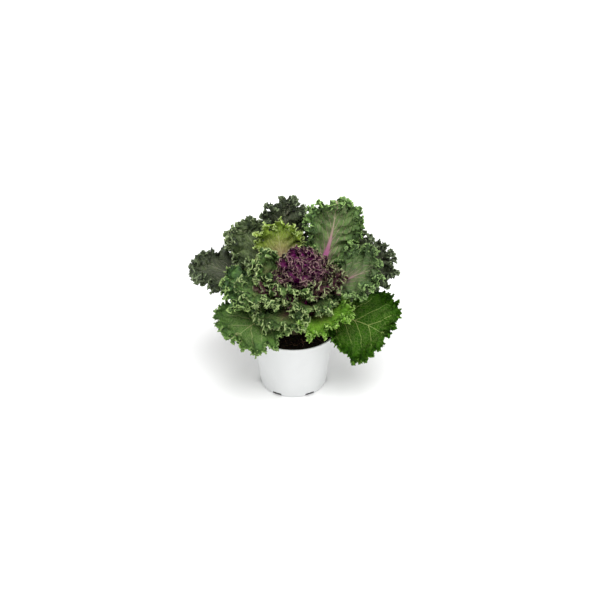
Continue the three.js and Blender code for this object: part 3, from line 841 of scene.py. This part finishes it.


# Colours in this order: the blade, its darker patches (dimmed, also the painted shade in the
# crimped hollows), its rib, its veins and its margin
SKINS = {
    "deep": leaf_skin(
        "leaf_deep", (0.036, 0.122, 0.003, 1), (0.018, 0.072, 0.003, 1), (0.36, 0.28, 0.12, 1),
        (0.30, 0.42, 0.12, 1), (0.12, 0.25, 0.03, 1),
        lean=0.9, rib_size=2.6, spacing=19, gloss=0.05,
    ),
    "front": leaf_skin(
        "leaf_front", (0.110, 0.230, 0.040, 1), (0.054, 0.132, 0.024, 1), (0.40, 0.24, 0.13, 1),
        (0.38, 0.46, 0.19, 1), (0.28, 0.42, 0.13, 1), lean=0.9, spacing=18,
    ),
    "bright": leaf_skin(
        "leaf_bright", (0.18, 0.37, 0.030, 1), (0.10, 0.25, 0.020, 1), (0.16, 0.03, 0.06, 1),
        (0.22, 0.34, 0.05, 1), (0.36, 0.56, 0.14, 1), pink=0.8, gloss=0.1,
    ),
    "green": leaf_skin(
        "leaf_green", (0.100, 0.225, 0.045, 1), (0.036, 0.094, 0.024, 1), (0.22, 0.12, 0.07, 1),
        (0.20, 0.30, 0.09, 1), (0.40, 0.56, 0.17, 1), bloom=0.08,
    ),
    "fan": leaf_skin(
        "leaf_fan", (0.185, 0.345, 0.078, 1), (0.074, 0.158, 0.038, 1), PINK_RIB,
        (0.46, 0.42, 0.26, 1), (0.38, 0.60, 0.18, 1),
        pink=0.2, lean=2.8, rib_size=20, spacing=18, bloom=0.1,
    ),
    "pink": leaf_skin(
        "leaf_pink_rib", (0.125, 0.235, 0.054, 1), (0.056, 0.120, 0.032, 1), PINK_RIB,
        (0.30, 0.30, 0.17, 1), (0.30, 0.46, 0.15, 1),
        pink=0.3, lean=2.4, rib_size=16, spacing=16, bloom=0.1,
    ),
    "light": leaf_skin(
        "leaf_light", (0.36, 0.52, 0.05, 1), (0.18, 0.32, 0.030, 1), (0.50, 0.23, 0.23, 1),
        (0.48, 0.54, 0.20, 1), (0.54, 0.68, 0.24, 1),
        pink=1.0, lean=2.1, rib_size=5, spacing=10, blush=34,
    ),
    "dark": leaf_skin(
        "leaf_dark", (0.066, 0.092, 0.031, 1), (0.028, 0.042, 0.018, 1), (0.24, 0.15, 0.14, 1),
        (0.22, 0.22, 0.15, 1), (0.20, 0.26, 0.13, 1), lean=2.1, rib_size=5, spacing=12, bloom=0.12,
    ),
    "grey": leaf_skin(
        "leaf_grey", (0.110, 0.165, 0.042, 1), (0.038, 0.066, 0.020, 1), (0.26, 0.19, 0.13, 1),
        (0.27, 0.32, 0.17, 1), (0.38, 0.47, 0.23, 1), lean=2.1, rib_size=5, spacing=12, bloom=0.12,
    ),
    "young": leaf_skin(
        "leaf_young", (0.110, 0.042, 0.044, 1), (0.042, 0.010, 0.022, 1), (0.38, 0.01, 0.26, 1),
        (0.26, 0.12, 0.12, 1), (0.34, 0.40, 0.19, 1), pink=0.95, blush=24,
    ),
    "inner": leaf_skin(
        "leaf_inner", (0.125, 0.235, 0.050, 1), (0.042, 0.095, 0.024, 1), (0.24, 0.05, 0.09, 1),
        (0.20, 0.23, 0.09, 1), (0.46, 0.58, 0.24, 1), pink=0.5,
    ),
}

for i, row in enumerate(LEAVES):
    leaf = {**LEAF, "seed": i + 1, **row}
    bm = leaf_mesh()
    add_blade(bm, leaf)
    add_rib(bm, leaf)
    keep_piece(bm, row["name"] + "_leaf", ["leaf_" + row["name"]], [SKINS[row["skin"]]])

# ---- Heart --------------------------------------------------------------------------------
# The youngest leaves stand close together on the growing tip, each turned from the last by
# the golden angle. They are magenta, and their tightly crimped margins turn green with age.

HEART_LEAVES = 18
OUTER_LEAVES = 8  # how many of them make the outer piece
heart_skin = leaf_skin(
    "heart_leaf", (0.125, 0.003, 0.078, 1), (0.036, 0.002, 0.022, 1), (0.66, 0.002, 0.54, 1),
    (0.28, 0.02, 0.20, 1), (0.33, 0.21, 0.20, 1), pink=1.0, blush=12, rim_width=2.0,
    old_margin=(0.38, 0.38, 0.20, 1),
)
draw = random.Random(11)
hearts = {"heart_outer_leaves": leaf_mesh(), "heart_inner_leaves": leaf_mesh()}
for i in range(HEART_LEAVES):
    inward = i / (HEART_LEAVES - 1)
    leaf = {
        **LEAF,
        "seed": 160 + i,
        "azimuth": 60 + GOLDEN_ANGLE * i + draw.uniform(-6, 6),
        "height": STEM_TOP + 2 + 4 * inward,
        "length": (34 + 12 * inward) * draw.uniform(0.88, 1.05),
        "rise": 30 + 50 * inward,
        "droop": 46 + 42 * inward + 30 * inward**6 + draw.uniform(-14, 14),
        "roll": draw.uniform(-16, 16),
        "width": 42 - 14 * inward,
        "stalk": 0.04,
        "cup": 0.3,
        "wave": 3 - inward,
        "folds": 3.5,
        "flare": 2,
        "frill": 0.95,
        "column": 3.2,
        "stalk_radius": 1.6,
    }
    name = "heart_outer_leaves" if i < OUTER_LEAVES else "heart_inner_leaves"
    towards_back = math.sin(math.radians(leaf["azimuth"]))
    add_blade(hearts[name], leaf, 1 - inward + 0.4 * towards_back)
for name, bm in hearts.items():
    keep_piece(bm, name, ["heart"], [heart_skin])

# ---- Setting ------------------------------------------------------------------------------
# A plain pale floor under soft white light from all round, with a large lamp above and a
# little in front. The camera looks down at the plant from the front.

PIXEL = 60 / 44 * MM  # one pixel at the pot, whose lip radius of 60 mm spans 44 pixels
DISTANCE = 2.13  # from the camera to the pot, in metres
ELEVATION = math.radians(31.2)
POT_MIDDLE_PIXEL = (293.5, 353)
FRAME_MIDDLE_PIXEL = (300, 300)
POT_MIDDLE = Vector((0, 0, 0.043))
FLOOR_SIZE = 8
SKY_STRENGTH = 0.85
LAMP_STRENGTH = 2.2
LAMP_SPREAD = math.radians(45)
LAMP_AIM = Vector((-0.15, 0.4, -1))

floor_finish, start = new_material("floor", Roughness=0.8, Base_Color=(0.98, 0.98, 0.98, 1))
bm = bmesh.new()
bmesh.ops.create_grid(bm, x_segments=1, y_segments=1, size=FLOOR_SIZE)
mesh = bpy.data.meshes.new("floor")
bm.to_mesh(mesh)
bm.free()
mesh.materials.append(floor_finish)
floor = bpy.data.objects.new("floor", mesh)
bpy.context.scene.collection.objects.link(floor)

world = bpy.data.worlds.new("studio")
world.use_nodes = True
sky = world.node_tree.nodes["Background"]
sky.inputs["Color"].default_value = (1, 1, 1, 1)
sky.inputs["Strength"].default_value = SKY_STRENGTH
bpy.context.scene.world = world
bpy.context.scene.view_settings.view_transform = "Standard"

lamp = bpy.data.lights.new("sky_light", "SUN")
lamp.energy = LAMP_STRENGTH
lamp.angle = LAMP_SPREAD
lamp_holder = bpy.data.objects.new("sky_light", lamp)
bpy.context.scene.collection.objects.link(lamp_holder)
lamp_holder.rotation_mode = "QUATERNION"
lamp_holder.rotation_quaternion = LAMP_AIM.to_track_quat("-Z", "Y")

camera = bpy.data.objects.new("camera", bpy.data.cameras.new("camera"))
bpy.context.scene.collection.objects.link(camera)
bpy.context.scene.camera = camera
back = Vector((0, -math.cos(ELEVATION), math.sin(ELEVATION)))
up = Vector((0, math.sin(ELEVATION), math.cos(ELEVATION)))
right = Vector((1, 0, 0))
aim = POT_MIDDLE + right * (FRAME_MIDDLE_PIXEL[0] - POT_MIDDLE_PIXEL[0]) * PIXEL
aim += up * (POT_MIDDLE_PIXEL[1] - FRAME_MIDDLE_PIXEL[1]) * PIXEL
camera.location = aim + back * DISTANCE
camera.rotation_mode = "QUATERNION"
camera.rotation_quaternion = (-back).to_track_quat("-Z", "Y")
camera.data.lens = DISTANCE / (2 * FRAME_MIDDLE_PIXEL[0] * PIXEL) * camera.data.sensor_width
